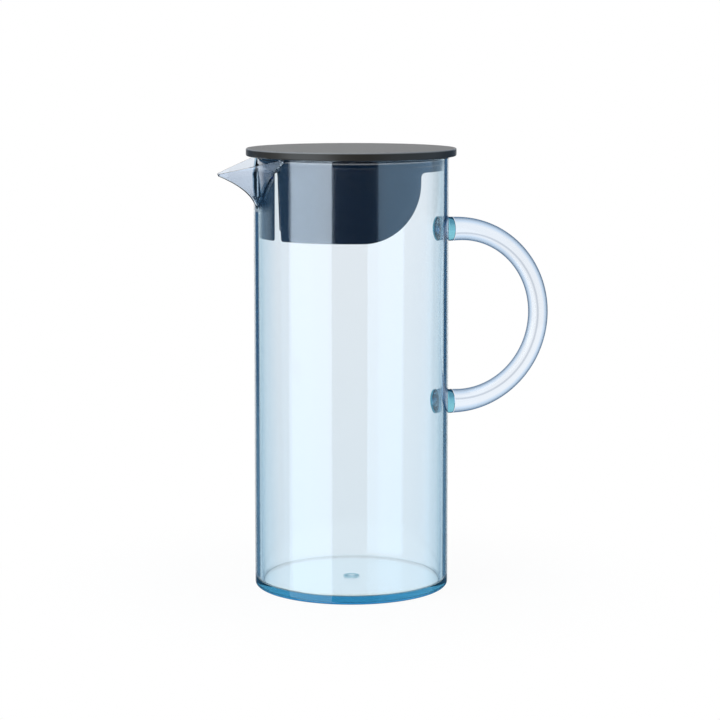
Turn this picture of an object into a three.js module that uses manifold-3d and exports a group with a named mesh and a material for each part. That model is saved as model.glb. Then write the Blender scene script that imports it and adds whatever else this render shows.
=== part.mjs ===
// Water jug with a turning strainer lid: a tinted cylinder with a beak spout, a bonded ring handle,
// and a round cap that carries a slotted skirt and a seal ring.
// Millimetres, +Z up. The origin is the centre of the underside. The spout points to -X, the handle to +X.
import * as THREE from 'three';
import { mergeVertices } from 'three/addons/utils/BufferGeometryUtils.js';
import Module from 'manifold-3d';

// Jug body
const bodyRadius = 52.5;
const bodyHeight = 233;
const rimWall = 2;
const footWall = 4;
const floorThickness = 4;
const footRound = 2;
const rimRound = 0.7;
const floorFillet = 3;
const gateRadius = 5;
const gateDepth = 0.8;

// Beak spout
const spoutReach = 73.2;
const spoutCornerAngle = 31;
const spoutDepth = 30;
const spoutWall = 2.2;
const lipDrop = 8.2;
const lipThickness = 1.4;
const keelRise = 0.42;
const keelSwell = 0.6;
const keelSink = 0.5;
const keelRound = 1.6;
const flankCurve = 1.15;

// Ring handle, bonded end to end with two stubs on the wall
const rodMiddle = 10.9;
const rodEnd = 13.2;
const rodSwell = 2.5;
const ringRadius = 47.5;
const ringOffset = 8.15;
const handleHeight = 145.1;
const stubLength = 4.6;
const bondLine = 0.25;

// Lid
const lidTurn = -13;
const capRadius = 56.5;
const capEdge = 4.2;
const capPlate = 2.2;
const capBevel = 0.5;
const capUnderRound = 0.9;
const capRest = 0.3;
const skirtWall = 2.2;
const skirtDepth = 43;
const collarDepth = 7;
const wallClearance = 0.45;
const tenonHeight = 2;
const spigotWall = 1.8;
const spigotDepth = 5.6;
const snapBead = 0.5;
const pieceGap = 0.25;

// Skirt openings, drawn in the lid's side view
const pourReach = 33.5;
const pourCornerRadius = 31;
const pourFillet = 2.5;
const slotEdge = 41.3;
const slotTopWidth = 1.9;
const slotFootWidth = 3;
const slotFootRound = 1.3;

// Seal ring
const sealHeight = 2.8;
const sealBelowRim = 1;
const sealGrooveDepth = 0.9;
const sealSqueezeGap = 0.2;
const sealLip = 0.5;

// Facets
const turnSegments = 72;
const rodSides = 20;
const ringSteps = 40;
const arcSteps = 3;
const cutSteps = 10;
const keelSteps = 7;
const noseSteps = 4;

const wasm = await Module();
wasm.setup();

const radians = THREE.MathUtils.degToRad;

// A closed geometry as a solid that can be joined and cut.
function solid(geometry) {
  const loose = geometry.index ? geometry.toNonIndexed() : geometry;
  const bare = new THREE.BufferGeometry();
  bare.setAttribute('position', loose.getAttribute('position'));
  const merged = mergeVertices(bare, 1e-4);
  return new wasm.Manifold(new wasm.Mesh({
    numProp: 3,
    vertProperties: merged.attributes.position.array,
    triVerts: new Uint32Array(merged.index.array),
  }));
}

function geometryOf(made) {
  const mesh = made.getMesh();
  const geometry = new THREE.BufferGeometry();
  geometry.setAttribute('position', new THREE.BufferAttribute(mesh.vertProperties, 3));
  geometry.setIndex(new THREE.BufferAttribute(mesh.triVerts, 1));
  geometry.computeVertexNormals();
  return geometry;
}

// Points of a round corner between two angles, in degrees, about a centre (radius, height).
function corner(centreX, centreY, radius, fromAngle, toAngle) {
  const points = [];
  for (let i = 0; i <= arcSteps; i += 1) {
    const angle = radians(fromAngle + (toAngle - fromAngle) * i / arcSteps);
    points.push(new THREE.Vector2(centreX + radius * Math.cos(angle), centreY + radius * Math.sin(angle)));
  }
  return points;
}

// A profile of (radius, height) points turned about the Z axis.
function turned(profile) {
  return new THREE.LatheGeometry(profile, turnSegments).rotateX(Math.PI / 2);
}

// A shape drawn in the XZ plane, pushed through along Y on both sides of the middle plane.
function pushedThrough(shape, halfWidth) {
  const options = { depth: 2 * halfWidth, bevelEnabled: false, curveSegments: cutSteps };
  return new THREE.ExtrudeGeometry(shape, options).translate(0, 0, -halfWidth).rotateX(Math.PI / 2);
}

// Horizontal outlines of equal point count, lofted bottom to top and capped at both ends.
function lofted(outlines) {
  const count = outlines[0].length;
  const points = outlines.flat();
  const faces = [];
  for (let level = 0; level + 1 < outlines.length; level += 1) {
    for (let i = 0; i < count; i += 1) {
      const a = level * count + i;
      const b = level * count + (i + 1) % count;
      faces.push(a, b, b + count, a, b + count, a + count);
    }
  }
  const top = (outlines.length - 1) * count;
  for (let i = 1; i + 1 < count; i += 1) {
    faces.push(0, i + 1, i);
    faces.push(top, top + i, top + i + 1);
  }
  return new THREE.BufferGeometry().setFromPoints(points).setIndex(faces);
}

const rimInner = bodyRadius - rimWall;
const footInner = bodyRadius - footWall;

// Jug body: cylinder with a drafted inside, a flat floor with the shallow dish of the moulding gate.
function bodyBlank() {
  return solid(turned([
    new THREE.Vector2(0, 0),
    ...corner(bodyRadius - footRound, footRound, footRound, -90, 0),
    ...corner(bodyRadius - rimRound, bodyHeight - rimRound, rimRound, 0, 90),
    new THREE.Vector2(0, bodyHeight),
  ]));
}

function bodyHollow() {
  const above = rimRound;
  return solid(turned([
    new THREE.Vector2(0, floorThickness - gateDepth),
    new THREE.Vector2(gateRadius * 0.6, floorThickness - gateDepth * 0.7),
    new THREE.Vector2(gateRadius, floorThickness),
    ...corner(footInner - floorFillet, floorThickness + floorFillet, floorFillet, -90, 0),
    new THREE.Vector2(rimInner, bodyHeight - rimRound),
    new THREE.Vector2(rimInner + rimRound, bodyHeight),
    new THREE.Vector2(rimInner + rimRound, bodyHeight + above),
    new THREE.Vector2(0, bodyHeight + above),
  ]));
}

// Beak: two flanks run from corners on the rim to a keel that grows out of the wall.
const keelFoot = bodyHeight - spoutDepth;
const lipTop = bodyHeight - lipDrop;
const lipFoot = lipTop - lipThickness;
const spoutCornerX = bodyRadius * Math.cos(radians(spoutCornerAngle));
const keelLine = new THREE.QuadraticBezierCurve(
  new THREE.Vector2(bodyRadius - keelSink, keelFoot),
  new THREE.Vector2(bodyRadius + keelSwell, lipFoot - keelRise * (spoutReach - bodyRadius - keelSwell)),
  new THREE.Vector2(spoutReach, lipFoot),
);

// The keel as (reach, height) points, from inside the wall up to a given height.
function keelPoints(top) {
  return [
    ...keelLine.getPoints(keelSteps),
    new THREE.Vector2(spoutReach + (top - lipFoot) / keelRise, top),
  ];
}

// One horizontal outline of the beak at a keel point, moved in from the flanks by an inset.
// Each flank runs from the keel's round nose through its corner on the wall and ends inside the jug.
function beakOutline(keel, inset) {
  const height = Math.min((keel.y - keelFoot) / spoutDepth, 1);
  const angle = radians(spoutCornerAngle) * height ** flankCurve;
  const cornerX = bodyRadius * Math.cos(angle);
  const cornerY = Math.max(bodyRadius * Math.sin(angle), keelRound);
  const run = Math.max(keel.x - cornerX, keelRound);
  const nose = keelRound / Math.sin(Math.atan2(cornerY, run)) - keelRound;
  const flank = Math.atan2(cornerY, run + nose);
  const apex = keel.x - inset / Math.sin(flank);
  const back = spoutCornerX - footWall;
  const front = Math.max(Math.min(apex, spoutReach + inset), back + keelRound);
  const clipped = Math.max(apex - front, 0);
  const bulge = Math.max(keelRound * (1 - Math.sin(flank)) - clipped, 0);
  const half = keelRound * Math.cos(flank) + clipped * Math.tan(flank);
  const sunk = Math.min(cornerX - rimWall / 2, front - bulge);
  const sunkHalf = half + (front - bulge - sunk) * Math.tan(flank);
  const outline = [];
  for (let i = 0; i <= noseSteps; i += 1) {
    const turn = (1 - 2 * i / noseSteps) * (Math.PI / 2 - flank);
    const fall = bulge * (1 - Math.cos(turn)) / (1 - Math.sin(flank));
    outline.push(new THREE.Vector3(fall - front, half * Math.sin(turn) / Math.cos(flank), keel.y));
  }
  outline.push(
    new THREE.Vector3(-sunk, -sunkHalf, keel.y),
    new THREE.Vector3(-back, -sunkHalf, keel.y),
    new THREE.Vector3(-back, sunkHalf, keel.y),
    new THREE.Vector3(-sunk, sunkHalf, keel.y),
  );
  return outline;
}

function beak(inset, top) {
  return solid(lofted(keelPoints(top).map((keel) => beakOutline(keel, inset))));
}

// The slice above the line that falls from the rim corners to the lip.
function lipCut() {
  const fall = lipDrop / (spoutReach - spoutCornerX);
  const far = 1.5 * spoutReach;
  const above = bodyHeight + spoutDepth;
  const shape = new THREE.Shape();
  shape.moveTo(-spoutCornerX, bodyHeight);
  shape.lineTo(-spoutCornerX, above);
  shape.lineTo(-far, above);
  shape.lineTo(-far, bodyHeight - fall * (far - spoutCornerX));
  shape.closePath();
  return solid(pushedThrough(shape, bodyRadius));
}

const ringCentre = bodyRadius + ringOffset;
const endHeights = [handleHeight - ringRadius, handleHeight + ringRadius];

// Stub for one end of the handle, from inside the wall to the bond.
function stub(height) {
  const root = bodyRadius - rimWall / 2;
  const tip = bodyRadius + stubLength;
  const bar = new THREE.CylinderGeometry(rodEnd / 2, rodEnd / 2, tip - root, rodSides);
  return solid(bar.rotateZ(-Math.PI / 2).translate((root + tip) / 2, 0, height));
}

function jugBody() {
  let made = bodyBlank().add(beak(0, bodyHeight).subtract(lipCut()));
  for (const height of endHeights) {
    made = made.add(stub(height));
  }
  const trough = beak(spoutWall * Math.hypot(1, keelRise), bodyHeight + rimRound);
  return geometryOf(made.subtract(bodyHollow()).subtract(trough));
}

// Centre line of the handle: a short straight lead from the bond at each end and a half ring between them.
class HandleLine extends THREE.Curve {
  getPoint(t, target = new THREE.Vector3()) {
    const start = bodyRadius + stubLength + bondLine;
    const lead = ringCentre - start;
    const bend = Math.PI * ringRadius;
    const along = t * (2 * lead + bend);
    if (along < lead) {
      return target.set(start + along, 0, handleHeight - ringRadius);
    }
    if (along > lead + bend) {
      return target.set(start + 2 * lead + bend - along, 0, handleHeight + ringRadius);
    }
    const angle = (along - lead) / ringRadius;
    const reach = ringCentre + ringRadius * Math.sin(angle);
    return target.set(reach, 0, handleHeight - ringRadius * Math.cos(angle));
  }
}

// Round section of the handle rod at a point of its line: slimmest in the middle of the grip.
function rodSection(line, t) {
  const centre = line.getPoint(t);
  const across = new THREE.Vector3(0, 1, 0);
  const outward = across.clone().cross(line.getTangent(t));
  const swell = Math.abs(2 * t - 1) ** rodSwell;
  const radius = THREE.MathUtils.lerp(rodMiddle, rodEnd, swell) / 2;
  const points = [];
  for (let i = 0; i < rodSides; i += 1) {
    const angle = 2 * Math.PI * i / rodSides;
    const point = centre.clone().addScaledVector(outward, radius * Math.cos(angle));
    points.push(point.addScaledVector(across, radius * Math.sin(angle)));
  }
  return points;
}

function handle() {
  const line = new HandleLine();
  const sections = [];
  for (let i = 0; i <= ringSteps; i += 1) {
    sections.push(rodSection(line, i / ringSteps));
  }
  return geometryOf(solid(lofted(sections)));
}

// Lid heights
const capUnder = bodyHeight + capRest;
const capTop = capUnder + capEdge;
const skirtFoot = bodyHeight - skirtDepth;
const collarFoot = bodyHeight - collarDepth;
const sealTop = bodyHeight - sealBelowRim;
const sealFoot = sealTop - sealHeight;

// Lid radii, worked in from the drafted wall at the skirt's foot
const draft = (rimInner - footInner) / (bodyHeight - floorThickness);
const skirtRadius = rimInner - draft * skirtDepth - wallClearance;
const skirtInner = skirtRadius - skirtWall;
const grooveFloor = skirtRadius - sealGrooveDepth;
const spigotRadius = skirtInner - pieceGap;
const snapHeight = capUnder - spigotDepth + 2 * snapBead;

// Cap: a plate with a deeper edge, a channel for the skirt's top and a spigot ring with a snap bead.
function lidCap() {
  const channelTop = capUnder + tenonHeight;
  const spigotFoot = capUnder - spigotDepth;
  return turned([
    new THREE.Vector2(0, capTop - capPlate),
    new THREE.Vector2(spigotRadius - spigotWall, capTop - capPlate),
    new THREE.Vector2(spigotRadius - spigotWall, spigotFoot),
    new THREE.Vector2(spigotRadius - snapBead, spigotFoot),
    new THREE.Vector2(spigotRadius, spigotFoot + snapBead),
    new THREE.Vector2(spigotRadius + snapBead, snapHeight),
    new THREE.Vector2(spigotRadius, snapHeight + snapBead),
    new THREE.Vector2(spigotRadius, channelTop),
    new THREE.Vector2(skirtRadius + pieceGap, channelTop),
    new THREE.Vector2(skirtRadius + pieceGap, capUnder),
    ...corner(capRadius - capUnderRound, capUnder + capUnderRound, capUnderRound, -90, 0),
    new THREE.Vector2(capRadius, capTop - capBevel),
    new THREE.Vector2(capRadius - capBevel, capTop),
    new THREE.Vector2(0, capTop),
  ]);
}

// Skirt blank: a tube with a groove outside for the seal ring and one inside for the snap bead.
function skirtTube() {
  const top = capUnder + tenonHeight - pieceGap;
  const beadRoom = snapBead + pieceGap;
  return solid(turned([
    new THREE.Vector2(skirtInner, skirtFoot),
    new THREE.Vector2(skirtRadius, skirtFoot),
    new THREE.Vector2(skirtRadius, sealFoot - pieceGap),
    new THREE.Vector2(grooveFloor, sealFoot - pieceGap),
    new THREE.Vector2(grooveFloor, sealTop + pieceGap),
    new THREE.Vector2(skirtRadius, sealTop + pieceGap),
    new THREE.Vector2(skirtRadius, top),
    new THREE.Vector2(skirtInner, top),
    new THREE.Vector2(skirtInner, snapHeight + beadRoom),
    new THREE.Vector2(skirtInner + snapBead, snapHeight),
    new THREE.Vector2(skirtInner, snapHeight - beadRoom),
    new THREE.Vector2(skirtInner, skirtFoot),
  ]));
}

// Pouring cut-out on the handle side: the skirt's lower corner is a quarter circle, eased into the collar.
function pourCutter() {
  const below = skirtFoot - collarDepth;
  const cornerX = pourReach - pourCornerRadius;
  const filletHeight = collarFoot - pourFillet;
  const shape = new THREE.Shape();
  shape.moveTo(cornerX, below);
  shape.lineTo(cornerX, skirtFoot);
  shape.absarc(cornerX, skirtFoot + pourCornerRadius, pourCornerRadius, -Math.PI / 2, 0, false);
  shape.lineTo(pourReach, filletHeight);
  shape.absarc(pourReach + pourFillet, filletHeight, pourFillet, Math.PI, Math.PI / 2, true);
  shape.lineTo(capRadius, collarFoot);
  shape.lineTo(capRadius, below);
  shape.closePath();
  return solid(pushedThrough(shape, capRadius));
}

// Strainer slot through both flanks beside the spout tongue, wider at its open foot.
function slotCutter() {
  const below = skirtFoot - collarDepth;
  const innerTop = slotEdge - slotTopWidth;
  const innerFoot = slotEdge - slotFootWidth;
  const crownHeight = collarFoot - slotTopWidth / 2;
  const roundHeight = skirtFoot + slotFootRound;
  const outerRound = -slotEdge - slotFootRound;
  const innerRound = slotFootRound - innerFoot;
  const shape = new THREE.Shape();
  shape.moveTo(outerRound, below);
  shape.lineTo(outerRound, skirtFoot);
  shape.absarc(outerRound, roundHeight, slotFootRound, -Math.PI / 2, 0, false);
  shape.lineTo(-slotEdge, crownHeight);
  shape.absarc((-slotEdge - innerTop) / 2, crownHeight, slotTopWidth / 2, Math.PI, 0, true);
  shape.lineTo(-innerFoot, roundHeight);
  shape.absarc(innerRound, roundHeight, slotFootRound, Math.PI, 1.5 * Math.PI, false);
  shape.lineTo(innerRound, below);
  shape.closePath();
  return solid(pushedThrough(shape, capRadius));
}

function lidSkirt() {
  return geometryOf(skirtTube().subtract(pourCutter()).subtract(slotCutter()));
}

// Seal ring: a soft band in the collar's groove with a lip that bears on the jug's wall.
function lidSeal() {
  const inner = grooveFloor + pieceGap / 2;
  const outer = rimInner - draft * (bodyHeight - sealFoot) - sealSqueezeGap;
  const middle = (sealFoot + sealTop) / 2;
  return turned([
    new THREE.Vector2(inner, sealFoot),
    new THREE.Vector2(outer - sealLip, sealFoot),
    new THREE.Vector2(outer, middle - sealLip / 2),
    new THREE.Vector2(outer, middle + sealLip / 2),
    new THREE.Vector2(outer - sealLip, sealTop),
    new THREE.Vector2(inner, sealTop),
    new THREE.Vector2(inner, sealFoot),
  ]);
}

function piece(name, geometry, colour, roughness, opacity = 1) {
  const material = new THREE.MeshStandardMaterial({ color: colour, roughness, metalness: 0 });
  material.transparent = opacity < 1;
  material.opacity = opacity;
  const mesh = new THREE.Mesh(geometry, material);
  mesh.name = name;
  return mesh;
}

const lid = new THREE.Group();
lid.rotation.z = radians(lidTurn);
lid.add(
  piece('lid_cap', lidCap(), 0x4a4846, 0.6),
  piece('lid_skirt', lidSkirt(), 0x232a33, 0.15),
  piece('lid_seal_ring', lidSeal(), 0x2e3033, 0.8),
);

const jug = new THREE.Group();
jug.add(
  piece('jug_body', jugBody(), 0xbfdcec, 0.05, 0.4),
  piece('handle', handle(), 0xe6eef2, 0.05, 0.4),
  lid,
);

export default jug;
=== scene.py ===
"""Looks of a tinted water jug with a ring handle and a turning strainer lid."""
import math

import bpy
from bpy.props import FloatProperty, FloatVectorProperty, IntProperty, PointerProperty
from bpy.types import Operator, Panel, PropertyGroup
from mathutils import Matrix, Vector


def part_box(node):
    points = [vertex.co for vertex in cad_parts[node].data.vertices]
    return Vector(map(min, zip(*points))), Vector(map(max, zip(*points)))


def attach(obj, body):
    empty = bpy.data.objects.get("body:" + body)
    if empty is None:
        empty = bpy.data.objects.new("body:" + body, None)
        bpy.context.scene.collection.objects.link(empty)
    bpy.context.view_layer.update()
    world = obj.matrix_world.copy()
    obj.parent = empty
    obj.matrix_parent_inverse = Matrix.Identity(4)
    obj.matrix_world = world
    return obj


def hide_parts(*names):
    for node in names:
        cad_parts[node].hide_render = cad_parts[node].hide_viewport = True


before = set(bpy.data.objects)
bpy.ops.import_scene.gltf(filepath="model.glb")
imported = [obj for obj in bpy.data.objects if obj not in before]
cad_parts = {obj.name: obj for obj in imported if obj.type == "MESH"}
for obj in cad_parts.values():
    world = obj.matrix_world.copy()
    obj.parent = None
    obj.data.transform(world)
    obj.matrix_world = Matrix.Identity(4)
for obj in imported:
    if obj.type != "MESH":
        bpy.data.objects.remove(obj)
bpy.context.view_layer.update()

bl_info = {
    "name": "Water jug with strainer lid",
    "version": (1, 0, 0),
    "blender": (4, 5, 0),
    "location": "View3D > Sidebar > Jug",
    "description": "Models the jug, its handle and its lid over the packed frame",
    "category": "Object",
}

BODY_LOW, BODY_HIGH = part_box("jug_body")
HANDLE_LOW, HANDLE_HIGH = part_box("handle")
CAP_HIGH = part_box("lid_cap")[1]
SKIRT_LOW, SKIRT_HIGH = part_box("lid_skirt")
SEAL_LOW, SEAL_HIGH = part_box("lid_seal_ring")
STRIP = 0.0005  # flat strip beside a rounding, which keeps its shading even
OVERRUN = 0.002  # how far a cutting shape runs on past what it cuts
CLEAR = (1, 1, 1)  # a tint that changes nothing


def length(name, description, default):
    """A length in metres, as the frame has it."""
    return FloatProperty(name=name, description=description, default=default, unit="LENGTH", precision=5)


def turn(name, description, degrees):
    """An angle, given in degrees and kept in radians."""
    return FloatProperty(name=name, description=description, default=math.radians(degrees), unit="ROTATION")


def tint(name, description, colour):
    """A linear colour without alpha."""
    return FloatVectorProperty(
        name=name, description=description, default=colour, subtype="COLOR", size=3, min=0, max=1
    )


class JugBodySizes(PropertyGroup):
    """Sizes of the clear moulding."""
    radius: length("Radius", "Outside of the cylinder", BODY_HIGH.y)
    height: length("Height", "Underside to rim", BODY_HIGH.z)
    rim_wall: length("Rim wall", "Wall at the rim", 0.002)
    foot_wall: length("Foot wall", "Wall at the foot", 0.004)
    floor: length("Floor", "Thickness of the floor", 0.004)
    foot_round: length("Foot round", "Rounding of the foot's edge", 0.002)
    rim_round: length("Rim round", "Rounding of the rim", 0.0007)
    fillet: length("Floor fillet", "Rounding between floor and wall", 0.0012)
    gate_radius: length("Gate radius", "Dish of the moulding gate", 0.005)
    gate_depth: length("Gate depth", "Depth of that dish", 0.00005)
    segments: IntProperty(name="Segments", description="Faces round the cylinder", default=240, min=48)


class SpoutSizes(PropertyGroup):
    """Sizes of the beak spout."""
    reach: length("Reach", "Lip's distance from the axis", -BODY_LOW.x)
    depth: length("Depth", "How far the keel runs down the wall", 0.03)
    corner: turn("Corner", "Where the flanks leave the rim", 31)
    wall: length("Wall", "Thickness of the flanks", 0.0013)
    lip_drop: length("Lip drop", "Fall from the rim to the lip", 0.0082)
    lip_thickness: length("Lip thickness", "Height of the lip's face", 0.0014)
    keel_rise: FloatProperty(name="Keel rise", description="Slope of the keel at the lip", default=0.42)
    keel_swell: length("Keel swell", "How soon the keel leaves the wall", 0.0006)
    keel_sink: length("Keel sink", "Where the keel starts inside the wall", 0.0005)
    keel_round: length("Keel round", "Rounding of the keel", 0.0016)
    nose: FloatProperty(name="Nose", description="Share of the flanks that the keel rounds off", default=0.05)
    flank_curve: FloatProperty(name="Flank curve", description="How the flanks widen", default=1.15)


class HandleSizes(PropertyGroup):
    """Sizes of the ring handle and its stubs."""
    middle: length("Middle", "Rod diameter in the grip", 0.0109)
    end: length("End", "Rod diameter at the bond", 0.0132)
    swell: FloatProperty(name="Swell", description="How late the rod thickens", default=2.5)
    ring: length("Ring", "Radius of the half ring's centre line", 0.0475)
    offset: length("Offset", "Ring centre from the wall", 0.00815)
    height: length("Height", "Ring centre above the underside", (HANDLE_LOW.z + HANDLE_HIGH.z) / 2)
    stub: length("Stub", "Length of a stub", 0.0046)
    bond: length("Bond", "Gap of the bond between stub and rod", 0.00025)
    sides: IntProperty(name="Sides", description="Faces round the rod", default=64, min=16)
    steps: IntProperty(name="Steps", description="Sections along the half ring", default=120, min=24)


class LidSizes(PropertyGroup):
    """Sizes of the cap, the skirt and the seal ring."""
    turned: turn("Turned", "How far the lid stands from the spout", -13)
    cap_radius: length("Cap radius", "Outside of the cap", CAP_HIGH.y)
    cap_top: length("Cap top", "Top of the cap", CAP_HIGH.z)
    cap_edge: length("Cap edge", "Height of the cap's edge", 0.0042)
    cap_plate: length("Cap plate", "Thickness of the cap's plate", 0.0022)
    skirt_radius: length("Skirt radius", "Outside of the skirt", 0.04968)
    skirt_wall: length("Skirt wall", "Thickness of the skirt", 0.0022)
    skirt_foot: length("Skirt foot", "Height of the skirt's lower edge", SKIRT_LOW.z)
    collar_foot: length("Collar foot", "Height where the openings end", 0.226)
    pour_reach: length("Pour reach", "Edge of the pouring cut-out", 0.0335)
    pour_corner: length("Pour corner", "Rounding of the skirt's lower corner", 0.031)
    pour_fillet: length("Pour fillet", "Rounding under the collar", 0.0025)
    slot_edge: length("Slot edge", "Outer edge of the strainer slots", 0.0413)
    slot_top: length("Slot top", "Width of a slot at its crown", 0.0019)
    slot_foot: length("Slot foot", "Width of a slot at its foot", 0.003)
    slot_round: length("Slot round", "Rounding of a slot's foot", 0.0013)
    edge_round: length("Edge round", "Rounding of moulded edges", 0.0003)
    cap_under: length("Cap under", "Rounding of the cap's lower edge", 0.0009)
    cap_bevel: length("Cap bevel", "Rounding of the cap's upper edge", 0.0006)
    tenon: length("Tenon", "How far the skirt's top enters the cap", 0.002)
    spigot_wall: length("Spigot wall", "Thickness of the cap's spigot ring", 0.0018)
    spigot_depth: length("Spigot depth", "Reach of the spigot below the cap's edge", 0.0056)
    snap: length("Snap bead", "Height of the bead that holds the skirt", 0.0005)
    groove: length("Seal groove", "Depth of the seal's groove", 0.0009)
    play: length("Play", "Gap between the lid's pieces", 0.00025)


class Finishes(PropertyGroup):
    """Colours of the finishes."""
    body: tint("Body tint", "What the tinted plastic lets through", (0.06, 0.64, 0.87))
    # the next four tints are painted shade by facing, which darkens the wall towards its outline
    body_face: tint("Body face", "Tint of the wall seen square on", (0.99, 0.96, 1.0))
    body_slant_shade: tint("Body side", "Tint of the wall seen at a slant", (0.62, 0.76, 0.86))
    body_edge_shade: tint("Body edge", "Tint of the wall seen edge on", (0.002, 0.012, 0.04))
    body_low_edge_shade: tint("Body low edge", "Painted shade of the outline near the foot, kept lighter", (0.02, 0.06, 0.12))
    body_sole: tint("Base band", "Tint of the wall beside the floor", (0.56, 0.52, 0.39))
    # painted glow inside the floor's thickness
    base_painted_glow: tint("Base glow", "Painted glow in the floor's thickness", (0.006, 0.024, 0.036))
    body_stub: tint("Stub", "Tint of the thick stubs", (0.32, 0.66, 0.72))
    # painted shade: a dark crescent behind each stub
    stub_root_shade: tint("Stub root", "Painted shade on the wall behind a stub", (0.005, 0.1, 0.16))
    body_spout: tint("Spout", "Tint of the spout's flanks", (0.86, 0.9, 0.97))
    # painted shade on the wall beside the spout's root
    spout_root_shade: tint("Spout root", "Painted shade on the wall beside the spout", (0.2, 0.33, 0.46))
    # the next two tints are painted shade round the gate's dish
    gate_ring_shade: tint("Gate", "Painted shade round the gate's dish", (0.06, 0.26, 0.36))
    gate_middle_shade: tint("Gate dish", "Painted shade in the gate's middle", (0.8, 0.9, 0.93))
    rod: tint("Handle tint", "What the clear rod lets through", (0.07, 0.43, 0.86))
    # painted shade line along the rod's near side
    rod_shade_line: tint("Handle shade line", "Painted shade line along the rod", (0.5, 0.53, 0.58))
    # the next four tints are painted shade by facing, which darkens the rod towards its outline
    rod_slant_shade: tint("Handle slant", "Tint of the rod seen a little aslant", (0.5, 0.67, 0.88))
    rod_side_shade: tint("Handle side", "Tint of the rod seen aslant", (0.28, 0.38, 0.5))
    rod_turn_shade: tint("Handle turn", "Tint of the rod near its outline", (0.06, 0.11, 0.18))
    rod_edge_shade: tint("Handle edge", "Tint of the rod seen edge on", (0.03, 0.06, 0.1))
    cap: tint("Cap", "Matte cap", (0.024, 0.019, 0.013))
    # painted highlight along the cap's upper edge
    cap_rim_highlight: tint("Cap rim", "Painted highlight along the cap's upper edge", (0.22, 0.22, 0.22))
    skirt: tint("Skirt", "Glossy skirt", (0.004, 0.008, 0.016))
    seal: tint("Seal", "Rubber band", (0.006, 0.01, 0.018))
    floor: tint("Floor", "Studio floor", (0.9, 0.9, 0.9))


class StageSizes(PropertyGroup):
    """Camera and studio."""
    azimuth: turn("Azimuth", "Where the camera stands round the jug", -17)
    distance: length("Distance", "Camera from the jug's axis", 1.2362)
    height: length("Height", "Camera above the floor", 0.2974)
    pan: turn("Pan", "Camera turned off the axis", -0.2186)
    pitch: turn("Pitch", "Camera tilted down", 6.2568)
    lens: FloatProperty(name="Lens", description="Focal length in millimetres", default=115.207)
    shift: FloatProperty(name="Shift", description="Upright framing of the photograph", default=-0.1)
    floor_radius: length("Floor radius", "Reach of the studio floor", 0.26)
    floor_drop: length("Floor drop", "Floor below the underside", 0.0003)
    lamp_distance: length("Lamp distance", "Side lamps from the jug's axis", 0.42)
    lamp_height: length("Lamp height", "Middle of the side lamps", 0.1)
    lamp_tall: length("Lamp tall", "Height of the side lamps' faces", 1.8)
    left_angle: turn("Left angle", "Left lamp from the camera", -48)
    left_width: length("Left width", "Width of the left lamp", 0.414)
    left_power: FloatProperty(name="Left power", description="Watts of the left lamp", default=4.8)
    left_tint: tint("Left tint", "Colour of the left lamp", (0.8, 0.9, 1.0))
    right_angle: turn("Right angle", "Right lamp from the camera", 69)
    right_width: length("Right width", "Width of the right lamp", 0.66)
    right_power: FloatProperty(name="Right power", description="Watts of the right lamp", default=2.0)
    right_tint: tint("Right tint", "Colour of the right lamp", (0.55, 0.78, 1.0))
    top_height: length("Top height", "Top lamp above the floor", 0.85)
    top_width: length("Top width", "Width of the top lamp", 0.5)
    top_power: FloatProperty(name="Top power", description="Watts of the top lamp", default=1.2)


def only(obj):
    """Selects one object alone and makes it the active one."""
    bpy.ops.object.select_all(action="DESELECT")
    obj.select_set(True)
    bpy.context.view_layer.objects.active = obj


def begin(name):
    """Names the new primitive and opens it in edit mode."""
    obj = bpy.context.object
    obj.name = name
    obj.data.name = name
    bpy.ops.object.transform_apply(location=True, rotation=True, scale=True)
    bpy.ops.object.mode_set(mode="EDIT")
    return obj


def close(obj):
    """Merges doubles, turns the faces outwards and leaves edit mode."""
    bpy.ops.mesh.select_all(action="SELECT")
    bpy.ops.mesh.remove_doubles(threshold=1e-6)
    bpy.ops.mesh.normals_make_consistent(inside=False)
    bpy.ops.object.mode_set(mode="OBJECT")
    return obj


def turned(name, profile, segments, ring=False):
    """Rings of (radius, height) drawn out one from the other: a closed solid, or a closed ring."""
    radius, height = profile[0]
    bpy.ops.object.select_all(action="DESELECT")
    fill = "NOTHING" if ring else "NGON"
    bpy.ops.mesh.primitive_circle_add(vertices=segments, radius=radius, fill_type=fill, location=(0, 0, height))
    obj = begin(name)
    bpy.ops.mesh.select_mode(type="EDGE" if ring else "FACE")
    bpy.ops.mesh.select_all(action="SELECT")
    for wide, high in profile[1:]:
        bpy.ops.mesh.extrude_region_move(TRANSFORM_OT_translate={"value": (0, 0, high - height)})
        grow = wide / radius
        bpy.ops.transform.resize(value=(grow, grow, 1), center_override=(0, 0, high))
        radius, height = wide, high
    return close(obj)


def rounded(x, z, radius, start, stop, steps):
    """Points of a round corner between two angles, in degrees."""
    points = []
    for i in range(steps + 1):
        angle = math.radians(start + (stop - start) * i / steps)
        points.append((x + radius * math.cos(angle), z + radius * math.sin(angle)))
    return points


def rungs(start, stop, count):
    """Points between two points of a profile, both left out."""
    (r0, z0), (r1, z1) = start, stop
    return [(r0 + (r1 - r0) * i / count, z0 + (z1 - z0) * i / count) for i in range(1, count)]


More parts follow.
